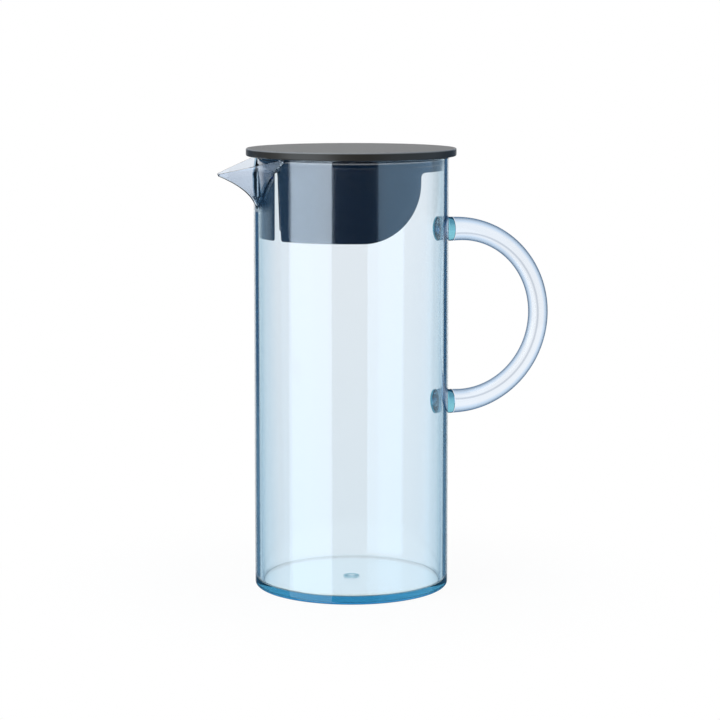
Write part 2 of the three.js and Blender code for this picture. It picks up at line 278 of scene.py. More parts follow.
def traced(name, start, moves, half_width):
    """An outline in the XZ plane, traced from a point by lines and arcs, filled and pushed through along Y."""
    bpy.ops.object.select_all(action="DESELECT")
    bpy.ops.mesh.primitive_plane_add(size=0.001, location=(start[0], -half_width, start[1]))
    obj = begin(name)
    bpy.ops.mesh.select_mode(type="VERT")
    bpy.ops.mesh.select_all(action="SELECT")
    bpy.ops.mesh.merge(type="CENTER")
    at = start
    for move in moves:
        if move[0] == "line":
            to = move[1]
            step = (to[0] - at[0], 0, to[1] - at[1])
            bpy.ops.mesh.extrude_region_move(TRANSFORM_OT_translate={"value": step})
            at = to
        else:
            centre, angle, steps = move[1:]
            middle = (centre[0], -half_width, centre[1])
            bpy.ops.mesh.spin(steps=steps, angle=math.radians(angle), center=middle, axis=(0, 1, 0))
            a = math.atan2(at[1] - centre[1], at[0] - centre[0]) + math.radians(angle)
            reach = math.hypot(at[0] - centre[0], at[1] - centre[1])
            at = (centre[0] + reach * math.cos(a), centre[1] + reach * math.sin(a))
    bpy.ops.mesh.select_all(action="SELECT")
    bpy.ops.mesh.remove_doubles(threshold=1e-6)
    bpy.ops.mesh.edge_face_add()
    bpy.ops.mesh.extrude_region_move(TRANSFORM_OT_translate={"value": (0, 2 * half_width, 0)})
    return close(obj)


def carve(obj, tool, operation):
    """Joins a tool to a piece or cuts it out, and drops the tool."""
    only(obj)
    bpy.ops.object.modifier_add(type="BOOLEAN")
    modifier = obj.modifiers[-1]
    modifier.operation = operation
    modifier.object = tool
    modifier.solver = "EXACT"
    bpy.ops.object.modifier_apply(modifier=modifier.name)
    bpy.data.objects.remove(tool)


def smooth(obj, degrees):
    """Smooth shading, with the edges over an angle kept sharp."""
    only(obj)
    bpy.ops.object.shade_smooth_by_angle(angle=math.radians(degrees))


def dress(obj, material, node, body):
    """Gives a finished piece its material and its place in the frame."""
    obj.data.materials.clear()
    obj.data.materials.append(material)
    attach(obj, body)
    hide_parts(node)


def node(tree, kind, at, **values):
    """Adds a node and sets its properties."""
    made = tree.nodes.new(kind)
    made.location = at
    for key, value in values.items():
        setattr(made, key, value)
    return made


def group(name, sockets):
    """An empty shader node group with named sockets, and its two end nodes."""
    tree = bpy.data.node_groups.new(name, "ShaderNodeTree")
    for label, way, kind, default in sockets:
        socket = tree.interface.new_socket(name=label, in_out=way, socket_type=kind)
        if default is not None:
            socket.default_value = default
    return tree, node(tree, "NodeGroupInput", (-800, 0)), node(tree, "NodeGroupOutput", (600, 0))


def flow_group():
    """Long soft waves and fine specks of a moulded surface."""
    tree, start, end = group("moulded_flow", (
        ("Wave scale", "INPUT", "NodeSocketFloat", 40.0),
        ("Speck scale", "INPUT", "NodeSocketFloat", 900.0),
        ("Low", "INPUT", "NodeSocketFloat", 0.0),
        ("High", "INPUT", "NodeSocketFloat", 0.05),
        ("Height", "OUTPUT", "NodeSocketFloat", None),
        ("Roughness", "OUTPUT", "NodeSocketFloat", None),
        ("Mask", "OUTPUT", "NodeSocketFloat", None),
    ))
    place = node(tree, "ShaderNodeTexCoord", (-800, 300))
    stretch = node(tree, "ShaderNodeMapping", (-600, 300))
    stretch.inputs["Scale"].default_value = (1.0, 1.0, 0.3)
    wave = node(tree, "ShaderNodeTexNoise", (-350, 300))
    wave.inputs["Detail"].default_value = 2.0
    speck = node(tree, "ShaderNodeTexNoise", (-350, 0))
    speck.inputs["Detail"].default_value = 3.0
    spread = node(tree, "ShaderNodeMapRange", (200, 0))
    spread.inputs["From Min"].default_value = 0.35
    spread.inputs["From Max"].default_value = 0.75
    link = tree.links.new
    link(place.outputs["Object"], stretch.inputs["Vector"])
    link(stretch.outputs["Vector"], wave.inputs["Vector"])
    link(place.outputs["Object"], speck.inputs["Vector"])
    link(start.outputs["Wave scale"], wave.inputs["Scale"])
    link(start.outputs["Speck scale"], speck.inputs["Scale"])
    link(speck.outputs["Fac"], spread.inputs["Value"])
    link(start.outputs["Low"], spread.inputs["To Min"])
    link(start.outputs["High"], spread.inputs["To Max"])
    link(wave.outputs["Fac"], end.inputs["Height"])
    link(spread.outputs["Result"], end.inputs["Roughness"])
    link(wave.outputs["Fac"], end.inputs["Mask"])
    return tree


def grain_group():
    """Fine even grain of an etched mould, with a soft drift of tone."""
    tree, start, end = group("etched_grain", (
        ("Grain scale", "INPUT", "NodeSocketFloat", 2500.0),
        ("Drift scale", "INPUT", "NodeSocketFloat", 30.0),
        ("Height", "OUTPUT", "NodeSocketFloat", None),
        ("Drift", "OUTPUT", "NodeSocketFloat", None),
    ))
    place = node(tree, "ShaderNodeTexCoord", (-800, 300))
    grain = node(tree, "ShaderNodeTexVoronoi", (-350, 300), feature="SMOOTH_F1")
    drift = node(tree, "ShaderNodeTexNoise", (-350, 0))
    drift.inputs["Detail"].default_value = 4.0
    link = tree.links.new
    link(place.outputs["Object"], grain.inputs["Vector"])
    link(place.outputs["Object"], drift.inputs["Vector"])
    link(start.outputs["Grain scale"], grain.inputs["Scale"])
    link(start.outputs["Drift scale"], drift.inputs["Scale"])
    link(grain.outputs["Distance"], end.inputs["Height"])
    link(drift.outputs["Fac"], end.inputs["Drift"])
    return tree


SHARED_GROUPS = {"moulded_flow": flow_group, "etched_grain": grain_group}


def use_group(tree, name, at, **values):
    """Places a shared group in a material, built on its first use."""
    made = node(tree, "ShaderNodeGroup", at)
    made.node_tree = bpy.data.node_groups.get(name) or SHARED_GROUPS[name]()
    for key, value in values.items():
        made.inputs[key.replace("_", " ")].default_value = value
    return made


def finish(name):
    """An empty material with its shader, its output and a bump node ahead of the shader."""
    material = bpy.data.materials.new(name)
    material.use_nodes = True
    tree = material.node_tree
    shader = tree.nodes["Principled BSDF"]
    bump = node(tree, "ShaderNodeBump", (-250, -300))
    tree.links.new(bump.outputs["Normal"], shader.inputs["Normal"])
    return material, tree, shader, bump


def ramp(tree, at, value, stops):
    """A colour ramp over a value, with the given stops."""
    made = node(tree, "ShaderNodeValToRGB", at)
    elements = made.color_ramp.elements
    while len(elements) < len(stops):
        elements.new(1.0)
    for element, (position, colour) in zip(elements, stops):
        element.position = position
        element.color = (*colour, 1)
    tree.links.new(value, made.inputs["Fac"])
    return made.outputs["Color"]


def graded(tree, at, value, low, high):
    """Nothing below one value and one above another."""
    made = node(tree, "ShaderNodeMapRange", at)
    made.inputs["From Min"].default_value = low
    made.inputs["From Max"].default_value = high
    tree.links.new(value, made.inputs["Value"])
    return made.outputs["Result"]


def mixed(tree, at, factor, first, second, blend="MIX"):
    """Two colours mixed, each a colour or a socket."""
    made = node(tree, "ShaderNodeMix", at, data_type="RGBA", blend_type=blend)
    tree.links.new(factor, made.inputs["Factor"])
    for key, colour in (("A", first), ("B", second)):
        if isinstance(colour, bpy.types.NodeSocket):
            tree.links.new(colour, made.inputs[key])
        else:
            made.inputs[key].default_value = (*colour, 1)
    return made.outputs["Result"]


def calc(tree, at, operation, first, second):
    """Two values put together, kept between nothing and one."""
    made = node(tree, "ShaderNodeMath", at, operation=operation, use_clamp=True)
    tree.links.new(first, made.inputs[0])
    tree.links.new(second, made.inputs[1])
    return made.outputs["Value"]


class Spot:
    """Where on its piece a shader is: along each axis, and how far from a line, in radii of the piece."""

    def __init__(self, tree, scale, shift=(0, 0, 0)):
        place = node(tree, "ShaderNodeTexCoord", (-1900, 800))
        axes = node(tree, "ShaderNodeSeparateXYZ", (-1700, 1100))
        level = node(tree, "ShaderNodeVectorMath", (-1700, 800), operation="MULTIPLY_ADD")
        level.inputs[1].default_value = scale
        level.inputs[2].default_value = shift
        out = node(tree, "ShaderNodeVectorMath", (-1500, 900), operation="LENGTH")
        tree.links.new(place.outputs["Object"], axes.inputs["Vector"])
        tree.links.new(place.outputs["Object"], level.inputs[0])
        tree.links.new(level.outputs["Vector"], out.inputs[0])
        self.x, self.y, self.z = (axes.outputs[key] for key in "XYZ")
        self.level = level.outputs["Vector"]
        self.out = out.outputs["Value"]


def clear_finish(name, ior, through, density, edge):
    """Clear moulded plastic, tinted in its depth, with its facing and the painted shade that its edge stops give
    towards the outline.
    """
    material, tree, shader, bump = finish(name)
    shader.inputs["Transmission Weight"].default_value = 1.0
    shader.inputs["IOR"].default_value = ior
    depth = node(tree, "ShaderNodeVolumeAbsorption", (0, -500))
    depth.inputs["Color"].default_value = (*through, 1)
    depth.inputs["Density"].default_value = density
    flow = use_group(tree, "moulded_flow", (-550, -100), Wave_scale=28.0, Speck_scale=700.0, Low=0.0, High=0.004)
    bump.inputs["Strength"].default_value = 0.02
    bump.inputs["Distance"].default_value = 0.001
    facing = node(tree, "ShaderNodeLayerWeight", (-900, 500)).outputs["Facing"]
    link = tree.links.new
    link(flow.outputs["Height"], bump.inputs["Height"])
    link(flow.outputs["Roughness"], shader.inputs["Roughness"])
    link(depth.outputs["Volume"], tree.nodes["Material Output"].inputs["Volume"])
    return material, tree, shader, facing, ramp(tree, (-700, 500), facing, edge)


def wall_tint(tree, spot, met, high, outline_shade, size, colours):
    """The wall's tint: painted shade round the gate's dish, the base band, and painted shade along the outline
    above it that ends ahead of the spout.
    """
    # painted shade round the gate's dish, paler in its middle
    gate = ramp(tree, (-900, 900), spot.out, (
        (0.03, colours.gate_middle_shade), (0.045, colours.gate_ring_shade), (0.075, colours.gate_ring_shade), (0.095, CLEAR)
    ))
    # painted shade along the outline: the outer wall above the base band, ending ahead of the spout
    ahead = graded(tree, (-1300, 1300), spot.x, -0.84 * size.radius, -0.88 * size.radius)
    cut = calc(tree, (-1100, 1200), "MULTIPLY", high, ahead)
    sole = graded(tree, (-1300, 500), spot.z, size.floor + 0.0032, size.floor + 0.001)
    lined = calc(tree, (-1000, 600), "SUBTRACT", met, sole)
    outline = calc(tree, (-900, 700), "SUBTRACT", lined, cut)
    # the painted shade of the outline is kept lighter towards the foot
    low = graded(tree, (-900, 500), spot.z, 0.515 * size.height, 0.3 * size.height)
    soft = mixed(tree, (-700, 700), low, outline_shade, colours.body_low_edge_shade, "LIGHTEN")
    banded = calc(tree, (-900, 300), "MULTIPLY", met, sole)
    based = mixed(tree, (-700, 500), banded, gate, colours.body_sole)
    return mixed(tree, (-500, 700), outline, based, soft)


def spout_tint(tree, spot, high, plain, size, colours):
    """Adds the tints of what stands out from the wall, and painted shade on the wall beside the spout's root."""
    behind = graded(tree, (-700, 1100), spot.x, 0.0, size.radius)
    thick = mixed(tree, (-500, 1000), behind, colours.body_spout, colours.body_stub)
    beyond = graded(tree, (-700, 900), spot.out, 1.003, 1.012)
    whole = mixed(tree, (-300, 800), beyond, plain, thick)
    within = graded(tree, (-1300, 1500), spot.out, 1.008, 1.002)
    around = graded(tree, (-1300, 1700), spot.y, -0.3 * size.radius, -0.24 * size.radius)
    beside = calc(tree, (-1100, 1600), "MULTIPLY", within, around)
    corner = graded(tree, (-1300, 1900), spot.x, -0.78 * size.radius, -0.83 * size.radius)
    lipped = calc(tree, (-1100, 1800), "MULTIPLY", high, corner)
    # painted shade: a dark band on the wall beside the spout's root
    root = calc(tree, (-900, 1300), "MULTIPLY", lipped, beside)
    return mixed(tree, (-100, 900), root, whole, colours.spout_root_shade)


def stub_tint(tree, spot, outward, whole, size, rod, colours):
    """Adds a crescent of painted shade on the inside of the wall behind each stub, one folded over onto the other.
    """
    fold = node(tree, "ShaderNodeMath", (-1500, 2000), operation="PINGPONG")
    fold.inputs[1].default_value = rod.height
    flat = node(tree, "ShaderNodeCombineXYZ", (-1300, 2000))
    link = tree.links.new
    link(spot.z, fold.inputs[0])
    link(spot.y, flat.inputs["Y"])
    link(fold.outputs["Value"], flat.inputs["Z"])
    discs = []
    for shift, near, far in ((0.0, 0.52, 0.49), (-rod.end / 6, 0.4, 0.46)):
        span = node(tree, "ShaderNodeVectorMath", (-1100, 2000), operation="DISTANCE")
        span.inputs[1].default_value = (0, shift, rod.height - rod.ring)
        link(flat.outputs["Vector"], span.inputs[0])
        discs.append(graded(tree, (-900, 2000), span.outputs["Value"], near * rod.end, far * rod.end))
    crescent = calc(tree, (-700, 2000), "MULTIPLY", *discs)
    inner = graded(tree, (-900, 1800), outward, -0.85, -0.9)
    behind = graded(tree, (-900, 1900), spot.x, 0.0, size.radius / 2)
    seen = calc(tree, (-700, 1800), "MULTIPLY", inner, behind)
    moon_shade = calc(tree, (-500, 1900), "MULTIPLY", crescent, seen)
    return mixed(tree, (0, 1000), moon_shade, whole, colours.stub_root_shade)


def painted_base_glow(tree, spot, facing, back, size, colours):
    """A painted glow: emission inside the floor's thickness where it is seen aslant from within, standing in for
    light guided along it.
    """
    glow_facing = graded(tree, (-700, 200), facing, 0.5, 0.7)
    sunk = graded(tree, (-700, 400), spot.z, size.floor + 0.0008, size.floor + 0.0004)
    inside = calc(tree, (-500, 400), "MULTIPLY", sunk, back)
    glow_mask = calc(tree, (-300, 300), "MULTIPLY", glow_facing, inside)
    return mixed(tree, (-100, 300), glow_mask, (0, 0, 0), colours.base_painted_glow)


def body_finish(size, spout, rod, colours):
    """Tinted plastic with painted shade along the wall's outline, round the gate and beside the spout's root,
    crescents of painted shade behind the stubs, a painted glow in the floor, and tinted by place at the base, the
    spout and the stubs.
    """
    # painted shade by facing: the wall darkens towards its outline and is pale again right at it
    material, tree, shader, facing, outline_shade = clear_finish("tinted clear plastic", 1.46, colours.body, 33.0, (
        (0.35, colours.body_face),
        (0.6, colours.body_slant_shade),
        (0.66, colours.body_slant_shade),
        (0.7, colours.body_edge_shade),
        (0.79, colours.body_edge_shade),
        (0.87, colours.body_face),
    ))
    spot = Spot(tree, (1 / size.radius, 1 / size.radius, 0))
    surface = node(tree, "ShaderNodeNewGeometry", (-1700, 600))
    upright = node(tree, "ShaderNodeVectorMath", (-1500, 700), operation="DOT_PRODUCT")
    link = tree.links.new
    link(spot.level, upright.inputs[0])
    link(surface.outputs["Normal"], upright.inputs[1])
    outward, back = upright.outputs["Value"], surface.outputs["Backfacing"]
    wall = graded(tree, (-1300, 700), outward, 0.9, 0.97)
    met = calc(tree, (-1100, 700), "SUBTRACT", wall, back)
    foot = size.height - spout.depth
    high = graded(tree, (-1300, 1100), spot.z, foot + 0.001, foot + 0.006)
    plain = wall_tint(tree, spot, met, high, outline_shade, size, colours)
    whole = spout_tint(tree, spot, high, plain, size, colours)
    link(stub_tint(tree, spot, outward, whole, size, rod, colours), shader.inputs["Base Color"])
    # painted glow: the floor's thickness emits a little light though it is no lamp
    link(painted_base_glow(tree, spot, facing, back, size, colours), shader.inputs["Emission Color"])
    shader.inputs["Emission Strength"].default_value = 1.0
    material.cycles.emission_sampling = "NONE"
    return material


def rod_finish(centre, rod, colours):
    """Clear plastic of the handle with painted shade towards its outline, and a faint painted shade line along the
    rod's near side.
    """
    # painted shade by facing: the rod darkens towards its outline
    material, tree, shader, _, outline_shade = clear_finish("clear plastic", 1.49, colours.rod, 14.0, (
        (0.15, CLEAR),
        (0.29, colours.rod_slant_shade),
        (0.44, colours.rod_side_shade),
        (0.6, colours.rod_turn_shade),
        (0.8, colours.rod_edge_shade),
    ))
    ring = rod.ring
    spot = Spot(tree, (1 / ring, 0, 1 / ring), (-centre / ring, 0, -rod.height / ring))
    # painted shade line along the rod's near side, standing in for a line that refraction draws
    shade_streak = ramp(tree, (-1100, 800), spot.out, (
        (0.942, CLEAR), (0.953, colours.rod_shade_line), (0.963, colours.rod_shade_line), (0.972, CLEAR)
    ))
    near = graded(tree, (-1100, 1000), spot.y, 0.0, -rod.middle / 4)
    line = mixed(tree, (-700, 900), near, CLEAR, shade_streak)
    both = node(tree, "ShaderNodeMix", (-300, 700), data_type="RGBA", blend_type="MULTIPLY")
    both.inputs["Factor"].default_value = 1.0
    tree.links.new(line, both.inputs["A"])
    tree.links.new(outline_shade, both.inputs["B"])
    end = centre - rod.offset + rod.stub + rod.bond
    face = graded(tree, (-300, 1000), spot.x, end + 0.0005, end + 0.0001)
    tinted = mixed(tree, (-100, 800), face, both.outputs["Result"], CLEAR)
    tree.links.new(tinted, shader.inputs["Base Color"])
    return material


def matte_finish(name, colour, edge, lid):
    """Etched dark plastic: fine grain, a slow drift of tone and a painted highlight along the upper edge."""
    material, tree, shader, bump = finish(name)
    shader.inputs["Roughness"].default_value = 0.36
    bump.inputs["Strength"].default_value = 0.25
    bump.inputs["Distance"].default_value = 0.0002
    grain = use_group(tree, "etched_grain", (-700, 0), Grain_scale=2200.0, Drift_scale=45.0)
    dark, pale = [c * 0.85 for c in colour], [c * 1.2 for c in colour]
    tone = mixed(tree, (-300, 200), grain.outputs["Drift"], dark, pale)
    spot = Spot(tree, (1 / lid.cap_radius, 1 / lid.cap_radius, 0))
    # painted highlight: a lighter colour along the cap's upper edge
    rim = graded(tree, (-700, 400), spot.out, 0.985, 0.992)
    high = graded(tree, (-700, 600), spot.z, lid.cap_top - 0.0008, lid.cap_top - 0.0003)
    line = calc(tree, (-500, 500), "MULTIPLY", rim, high)
    tree.links.new(grain.outputs["Height"], bump.inputs["Height"])
    tree.links.new(mixed(tree, (-100, 300), line, tone, edge), shader.inputs["Base Color"])
    return material


def gloss_finish(name, colour, low, high):
    """Polished dark plastic or rubber with faint flow lines."""
    material, tree, shader, bump = finish(name)
    shader.inputs["IOR"].default_value = 2.3
    shader.inputs["Coat Weight"].default_value = 1.0
    shader.inputs["Coat Roughness"].default_value = 0.13
    bump.inputs["Strength"].default_value = 0.02
    bump.inputs["Distance"].default_value = 0.001
    flow = use_group(tree, "moulded_flow", (-700, 0), Wave_scale=35.0, Speck_scale=500.0, Low=low, High=high)
    dark, pale = [c * 0.8 for c in colour], [c * 1.3 for c in colour]
    tone = mixed(tree, (-300, 200), flow.outputs["Mask"], dark, pale)
    link = tree.links.new
    link(tone, shader.inputs["Base Color"])
    link(flow.outputs["Roughness"], shader.inputs["Roughness"])
    link(flow.outputs["Height"], bump.inputs["Height"])
    return material


def body_blank(size):
    """The solid cylinder with its rounded foot and rim."""
    foot = rounded(size.radius - size.foot_round, size.foot_round, size.foot_round, -90, 0, 6)
    rim = rounded(size.radius - size.rim_round, size.height - size.rim_round, size.rim_round, 0, 90, 4)
    low = (size.radius, foot[-1][1] + STRIP)
    high = (size.radius, rim[0][1] - STRIP)
    inner = (rim[-1][0] - 0.6 * STRIP, size.height)
    profile = [(foot[0][0] - STRIP, 0), *foot, low, *rungs(low, high, 24), high, *rim, inner]
    return turned("jug", profile, size.segments)


def body_hollow(size):
    """The drafted inside, with its flat floor and the dish of the gate."""
    floor = size.floor
    foot_inner = size.radius - size.foot_wall
    rim_inner = size.radius - size.rim_wall
    dish = []
    rings = 7
    for i in range(1, rings + 1):
        reach = i / rings
        dip = (1 + math.cos(math.pi * reach)) / 2
        dish.append((size.gate_radius * reach, floor - size.gate_depth * dip))
    arc = rounded(foot_inner - size.fillet, floor + size.fillet, size.fillet, -90, 0, 8)
    top = (rim_inner, size.height - size.rim_round)
    low = (arc[-1][0] + STRIP / 50, arc[-1][1] + 1.2 * STRIP)
    profile = [
        *dish,
        (size.gate_radius + 0.8 * STRIP, floor),
        (arc[0][0] - STRIP, floor),
        *arc,
        low,
        *rungs(low, top, 24),
        top,
        (rim_inner + size.rim_round, size.height),
        (rim_inner + size.rim_round, size.height + OVERRUN),
    ]
    return turned("hollow", profile, size.segments)


def keel_points(size, spout, top, steps):
    """The keel as (reach, height) points: a curve out of the wall, then straight on past the lip."""
    foot = size.height - spout.depth
    lip = size.height - spout.lip_drop - spout.lip_thickness
    x0 = size.radius - spout.keel_sink
    x1 = size.radius + spout.keel_swell
    z1 = lip - spout.keel_rise * (spout.reach - x1)
    points = []
    for i in range(steps + 1):
        t = i / steps
        a, b, c = (1 - t) ** 2, 2 * t * (1 - t), t * t
        points.append((a * x0 + b * x1 + c * spout.reach, a * foot + b * z1 + c * lip))
    for i in range(1, 4):
        rise = (top - lip) * i / 3
        points.append((spout.reach + rise / spout.keel_rise, lip + rise))
    return points


def beak_level(size, spout, keel, inset, back):
    """Angle of the flanks and reach of the beak at one keel point, moved in from its outside."""
    part = min((keel[1] - size.height + spout.depth) / spout.depth, 1.0)
    angle = spout.corner * max(part, 0.0) ** spout.flank_curve
    corner_y = max(size.radius * math.sin(angle), spout.keel_round)
    run = max(keel[0] - size.radius * math.cos(angle), spout.keel_round)
    nose = spout.keel_round / math.sin(math.atan2(corner_y, run)) - spout.keel_round
    flank = math.atan2(corner_y, run + nose)
    return flank, max(keel[0] - inset / math.sin(flank), back + spout.keel_round)


def beak(name, size, spout, inset, top):
    """The beak drawn up level by level from its foot inside the wall, with a round keel."""
    back = size.radius * math.cos(spout.corner) - size.foot_wall
    levels = []
    cut = None
    for keel in keel_points(size, spout, top, 24):
        flank, front = beak_level(size, spout, keel, inset, back)
        cut = cut or spout.nose / (1 + math.sin(flank))
        apex = (front - cut * back) / (1 - cut)
        levels.append((keel[1], apex, (apex - back) * math.tan(flank)))
    high, reach, half = levels[0]
    middle = (-(back + reach) / 2, 0, high)
    bpy.ops.object.select_all(action="DESELECT")
    bpy.ops.mesh.primitive_plane_add(size=1, location=middle)
    bpy.ops.transform.resize(value=(reach - back, 2 * half, 1), center_override=middle)
    obj = begin(name)
    bpy.ops.mesh.select_mode(type="VERT")
    bpy.ops.mesh.select_all(action="DESELECT")
    bpy.ops.object.mode_set(mode="OBJECT")
    for vertex in obj.data.vertices:
        vertex.select = vertex.co.x < middle[0]
    bpy.ops.object.mode_set(mode="EDIT")
    bpy.ops.mesh.merge(type="CENTER")
    bpy.ops.mesh.bevel(offset_type="PERCENT", offset_pct=100 * spout.nose, segments=6, affect="VERTICES")
    bpy.ops.mesh.select_mode(type="FACE")
    bpy.ops.mesh.select_all(action="SELECT")
    for z, far, wide in levels[1:]:
        bpy.ops.mesh.extrude_region_move(TRANSFORM_OT_translate={"value": (0, 0, z - high)})
        grow = ((far - back) / (reach - back), wide / half, 1)
        bpy.ops.transform.resize(value=grow, center_override=(-back, 0, z))
        high, reach, half = z, far, wide
    return close(obj)


def slice_off(obj, point, normal):
    """Cuts away what lies beyond a plane and closes the cut."""
    only(obj)
    bpy.ops.object.mode_set(mode="EDIT")
    bpy.ops.mesh.select_all(action="SELECT")
    bpy.ops.mesh.bisect(plane_co=point, plane_no=normal, use_fill=True, clear_outer=True, threshold=1e-6)
    close(obj)


def stub(size, rod, height):
    """One stub on the wall, from inside the wall to the bond."""
    root = size.radius - size.rim_wall / 2
    tip = size.radius + rod.stub
    bpy.ops.object.select_all(action="DESELECT")
    bpy.ops.mesh.primitive_cylinder_add(
        vertices=rod.sides,
        radius=rod.end / 2,
        depth=tip - root,
        location=((root + tip) / 2, 0, height),
        rotation=(0, math.pi / 2, 0),
    )
    return close(begin("stub"))


class JUG_OT_body(Operator):
    """Models the clear jug with its spout and the stubs of its handle"""
    bl_idname = "jug.body"
    bl_label = "Jug body"

    def execute(self, context):
        scene = context.scene
        size, spout, rod = scene.jug_body, scene.jug_spout, scene.jug_handle
        body = body_blank(size)
        outer = beak("beak", size, spout, 0.0, size.height - OVERRUN / 100)
        corner_x = size.radius * math.cos(spout.corner)
        run = spout.reach - corner_x
        fall = math.hypot(spout.lip_drop, run)
        slice_off(outer, (-corner_x, 0, size.height), (-spout.lip_drop / fall, 0, run / fall))
        slice_off(outer, (-spout.reach, 0, size.height), (-1, 0, 0))
        carve(body, outer, "UNION")
        for end in (-1, 1):
            carve(body, stub(size, rod, rod.height + end * rod.ring), "UNION")
        carve(body, body_hollow(size), "DIFFERENCE")
        inset = spout.wall * math.hypot(1, spout.keel_rise)
        carve(body, beak("trough", size, spout, inset, size.height + OVERRUN / 2), "DIFFERENCE")
        smooth(body, 32)
        material = body_finish(size, spout, rod, scene.jug_finishes)
        dress(body, material, "jug_body", "jug")
        return {"FINISHED"}


class JUG_OT_handle(Operator):
    """Models the ring handle as a rod that swells towards its bonded ends"""
    bl_idname = "jug.handle"
    bl_label = "Ring handle"

    def execute(self, context):
        scene = context.scene
        size, rod = scene.jug_body, scene.jug_handle
        centre = size.radius + rod.offset
        start = size.radius + rod.stub + rod.bond
        lead = centre - start
        bend = math.pi * rod.ring
        total = 2 * lead + bend

        def radius(along):
            swell = abs(2 * along / total - 1) ** rod.swell
            return (rod.middle + (rod.end - rod.middle) * swell) / 2

        ease = 0.997  # the rod's ends are drawn in a little, as bonded ends are
        cuts = 8
        low, high = rod.height - rod.ring, rod.height + rod.ring
        before = radius(0) * ease
        bpy.ops.object.select_all(action="DESELECT")
        bpy.ops.mesh.primitive_circle_add(
            vertices=rod.sides,
            radius=before,
            fill_type="NGON",
            location=(start, 0, low),
            rotation=(0, math.pi / 2, 0),
        )
        obj = begin("ring_handle")
        bpy.ops.mesh.select_mode(type="FACE")
        bpy.ops.mesh.select_all(action="SELECT")
        for i in range(1, cuts + 1):
            along = lead * i / cuts
            bpy.ops.mesh.extrude_region_move(TRANSFORM_OT_translate={"value": (lead / cuts, 0, 0)})
            grow = radius(along) / before
            bpy.ops.transform.resize(value=(1, grow, grow), center_override=(start + along, 0, low))
            before = radius(along)
        step = math.pi / rod.steps
        for i in range(1, rod.steps + 1):
            angle = step * i
            bpy.ops.mesh.spin(steps=1, angle=step, center=(centre, 0, rod.height), axis=(0, 1, 0))
            now = radius(lead + rod.ring * angle)
            grow = now / before
            at = (centre + rod.ring * math.sin(angle), 0, rod.height - rod.ring * math.cos(angle))
            bpy.ops.transform.resize(value=(grow, grow, grow), center_override=at)
            before = now
        for i in range(1, cuts + 1):
            along = lead * i / cuts
            bpy.ops.mesh.extrude_region_move(TRANSFORM_OT_translate={"value": (-lead / cuts, 0, 0)})
            now = radius(lead + bend + along)
            grow = now / before * (ease if i == cuts else 1)
            bpy.ops.transform.resize(value=(1, grow, grow), center_override=(centre - along, 0, high))
            before = now
        close(obj)
        smooth(obj, 40)
        material = rod_finish(centre, rod, scene.jug_finishes)
        dress(obj, material, "handle", "jug")
        return {"FINISHED"}


class JUG_OT_lid_cap(Operator):
    """Models the matte cap with its channel, spigot and snap bead"""
    bl_idname = "jug.lid_cap"
    bl_label = "Lid cap"

    def execute(self, context):
        scene = context.scene
        size, lid = scene.jug_body, scene.jug_lid
        edge = lid.edge_round
        under = lid.cap_top - lid.cap_edge
        plate = lid.cap_top - lid.cap_plate
        outer = lid.skirt_radius + lid.play
        inner = lid.skirt_radius - lid.skirt_wall - lid.play
        bore = inner - lid.spigot_wall
        foot = under - lid.spigot_depth
        bead = foot + 2 * lid.snap
        seat = under + lid.tenon
        middle = 4 * STRIP
        rim, low, high = lid.cap_radius, lid.cap_under, lid.cap_bevel
        profile = [
            (middle, plate),
            (bore - edge, plate),
            (bore, plate - edge),
            (bore, foot),
            (inner - lid.snap, foot),
            (inner, foot + lid.snap),
            (inner + lid.snap, bead),
            (inner, bead + lid.snap),
            (inner, seat),
            (outer, seat),
            (outer, under),
            (rim - low - 0.8 * STRIP, under),
            *rounded(rim - low, under + low, low, -90, 0, 6),
            (rim, lid.cap_top - 2 * high),
            *rounded(rim - high, lid.cap_top - high, high, 0, 90, 6),
            (rim - high - 0.8 * STRIP, lid.cap_top),
            (middle, lid.cap_top),
        ]
        obj = turned("cap", profile, size.segments)
        smooth(obj, 35)
        colours = scene.jug_finishes
        material = matte_finish("matte dark plastic", colours.cap, colours.cap_rim_highlight, lid)
        dress(obj, material, "lid_cap", "lid")
        return {"FINISHED"}


def pour_cutter(lid):
    """The pouring cut-out: all beyond the skirt's rounded lower corner, up to the collar."""
    below = lid.skirt_foot - 3.5 * OVERRUN
    x0 = lid.pour_reach - lid.pour_corner
    ease = lid.collar_foot - lid.pour_fillet
    far = lid.cap_radius
    return traced("pour_cutter", (x0, below), (
        ("line", (x0, lid.skirt_foot)),
        ("arc", (x0, lid.skirt_foot + lid.pour_corner), 90, 32),
        ("line", (lid.pour_reach, ease)),
        ("arc", (lid.pour_reach + lid.pour_fillet, ease), -90, 10),
        ("line", (far, lid.collar_foot)),
        ("line", (far, below)),
    ), far)


def slot_cutter(lid):
    """Both strainer slots in one push: straight outside, wider at the rounded foot, with a round crown."""
    below = lid.skirt_foot - 3.5 * OVERRUN
    crown = lid.collar_foot - lid.slot_top / 2
    ease = lid.skirt_foot + lid.slot_round
    outer = -lid.slot_edge
    inner_foot = outer + lid.slot_foot
    inner_top = outer + lid.slot_top
    return traced("slot_cutter", (outer - lid.slot_round, below), (
        ("line", (outer - lid.slot_round, lid.skirt_foot)),
        ("arc", (outer - lid.slot_round, ease), 90, 8),
        ("line", (outer, crown)),
        ("arc", ((outer + inner_top) / 2, crown), -180, 12),
        ("line", (inner_foot, ease)),
        ("arc", (inner_foot + lid.slot_round, ease), 90, 8),
        ("line", (inner_foot + lid.slot_round, below)),
    ), lid.cap_radius)


